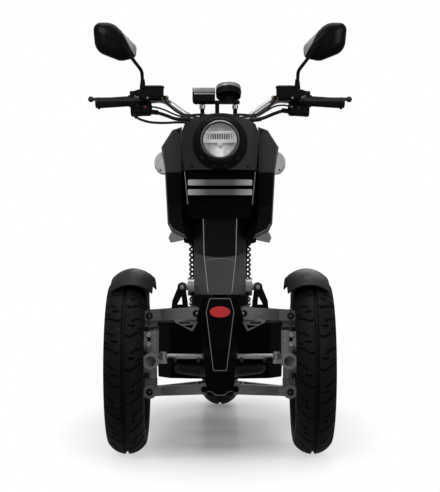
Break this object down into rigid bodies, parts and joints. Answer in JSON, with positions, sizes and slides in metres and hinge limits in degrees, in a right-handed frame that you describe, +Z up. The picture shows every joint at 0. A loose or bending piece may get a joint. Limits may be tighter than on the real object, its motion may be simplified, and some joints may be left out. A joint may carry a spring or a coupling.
{
  "type": "reverse trike",
  "caption": "Electric reverse trike with leaning-arm front suspension, steered front wheels, saddle, floorboard and rear drive wheel, standing upright.",
  "frame": {"origin": "on the ground, under the middle of the vehicle's length, on its middle plane", "axes": "+Z up, +Y towards the rear, +X towards the rider's left"},
  "size_m": [0.749, 1.7883, 1.1939],
  "materials": {
    "tyre_rubber": "matt black tread rubber",
    "wheel_black": "satin black",
    "arm_grey": "satin grey",
    "frame_black": "satin black",
    "bright_steel": "satin bright",
    "gloss_grey": "gloss dark grey",
    "gloss_black": "gloss black",
    "satin_black": "satin black",
    "grip_rubber": "matt, ribbed",
    "cable_rubber": "matt",
    "lever_alloy": "satin black",
    "mirror_glass": "polished",
    "chrome": "polished",
    "clear_lens": "clear, moulded",
    "badge_red": "gloss red",
    "light_grey": "satin light grey",
    "floor_rubber": "matt, ribbed",
    "seat_cover": "matt black cover",
    "red_lens": "red, moulded",
    "amber_lens": "amber, moulded",
    "footpeg_alloy": "satin, ribbed"
  },
  "bodies": {
    "frame": {"upper_arms": "arm_grey", "lower_arms": "arm_grey", "damper_towers": "frame_black", "tilt_damper": "bright_steel", "uprights": "frame_black", "front_frame": "frame_black", "main_frame": "frame_black", "nose_panel": "gloss_grey", "headlamp_housing": "satin_black", "headlamp_ring": "chrome", "headlamp_lens": "clear_lens", "grille_recess": "satin_black", "grille_bars": "bright_steel", "neck_cover": "gloss_black", "beak": "gloss_black", "badge": "badge_red", "side_wings": "gloss_black", "leg_shield": "satin_black", "shield_fins": "light_grey", "front_indicators": "clear_lens", "floorboard": "floor_rubber", "belly_pan": "satin_black", "battery_box": "frame_black", "tail_body": "gloss_black", "grab_rail": "frame_black", "tail_lamp": "red_lens", "rear_indicators": "amber_lens", "swingarm": "frame_black", "rear_shocks": "frame_black", "rear_mudguard": "satin_black", "plate_holder": "satin_black", "footpegs": "footpeg_alloy"},
    "steering": {"handlebar": "bright_steel", "steering_stem": "frame_black", "grips": "grip_rubber", "switch_housings": "satin_black", "brake_masters": "satin_black", "brake_levers": "lever_alloy", "mirror_stems": "frame_black", "mirror_shells": "satin_black", "mirror_glass": "mirror_glass", "instruments": "satin_black", "control_cables": "cable_rubber"},
    "relay": {"relay_lever": "frame_black"},
    "knuckle_left_body": {"knuckle_left": "frame_black", "mudguard_left": "gloss_grey"},
    "knuckle_right_body": {"knuckle_right": "frame_black", "mudguard_right": "gloss_grey"},
    "wheel_left": {"tyre_left": "tyre_rubber", "rim_left": "wheel_black"},
    "wheel_right": {"tyre_right": "tyre_rubber", "rim_right": "wheel_black"},
    "wheel_rear": {"tyre_rear": "tyre_rubber", "rim_rear": "wheel_black"},
    "rod_left": {"tie_rod_left": "bright_steel"},
    "rod_right": {"tie_rod_right": "bright_steel"},
    "seat_body": {"seat": "seat_cover"}
  },
  "joints": [
    {"name": "steering_turn", "type": "hinge", "parent": "frame", "child": "steering", "pos_m": [0, -0.39675, 0.85], "axis": [0, 0.3746, 0.9272], "range_deg": [-32, 32]},
    {"name": "relay_turn", "type": "hinge", "parent": "frame", "child": "relay", "pos_m": [0, -0.63475, 0.25], "axis": [0, 0, 1], "range_deg": [-24, 24]},
    {"name": "left_knuckle_turn", "type": "hinge", "parent": "frame", "child": "knuckle_left_body", "pos_m": [0.178, -0.66175, 0.26], "axis": [0, 0, 1], "range_deg": [-32.5, 32.5]},
    {"name": "right_knuckle_turn", "type": "hinge", "parent": "frame", "child": "knuckle_right_body", "pos_m": [-0.178, -0.66175, 0.26], "axis": [0, 0, 1], "range_deg": [-32.5, 32.5]},
    {"name": "left_rod_turn", "type": "hinge", "parent": "knuckle_left_body", "child": "rod_left", "pos_m": [0.146, -0.72175, 0.257], "axis": [0, 0, 1], "range_deg": [-49, 49]},
    {"name": "right_rod_turn", "type": "hinge", "parent": "knuckle_right_body", "child": "rod_right", "pos_m": [-0.146, -0.72175, 0.257], "axis": [0, 0, 1], "range_deg": [-49, 49]},
    {"name": "left_wheel_spin", "type": "hinge", "parent": "knuckle_left_body", "child": "wheel_left", "pos_m": [0.24, -0.66175, 0.2325], "axis": [1, 0, 0], "continuous": true},
    {"name": "right_wheel_spin", "type": "hinge", "parent": "knuckle_right_body", "child": "wheel_right", "pos_m": [-0.24, -0.66175, 0.2325], "axis": [1, 0, 0], "continuous": true},
    {"name": "rear_wheel_spin", "type": "hinge", "parent": "frame", "child": "wheel_rear", "pos_m": [0, 0.62325, 0.2365], "axis": [1, 0, 0], "continuous": true},
    {"name": "seat_lift", "type": "hinge", "parent": "frame", "child": "seat_body", "pos_m": [0, 0.13625, 0.738], "axis": [1, 0, 0], "range_deg": [0, 70]}
  ],
  "couplings": [
    {"joint": "relay_turn", "follows": "steering_turn", "ratio": 0.73},
    {"joint": "left_knuckle_turn", "follows": "steering_turn", "ratio": 1},
    {"joint": "right_knuckle_turn", "follows": "steering_turn", "ratio": 1},
    {"joint": "left_rod_turn", "follows": "steering_turn", "ratio": -1.48},
    {"joint": "right_rod_turn", "follows": "steering_turn", "ratio": -1.48}
  ]
}
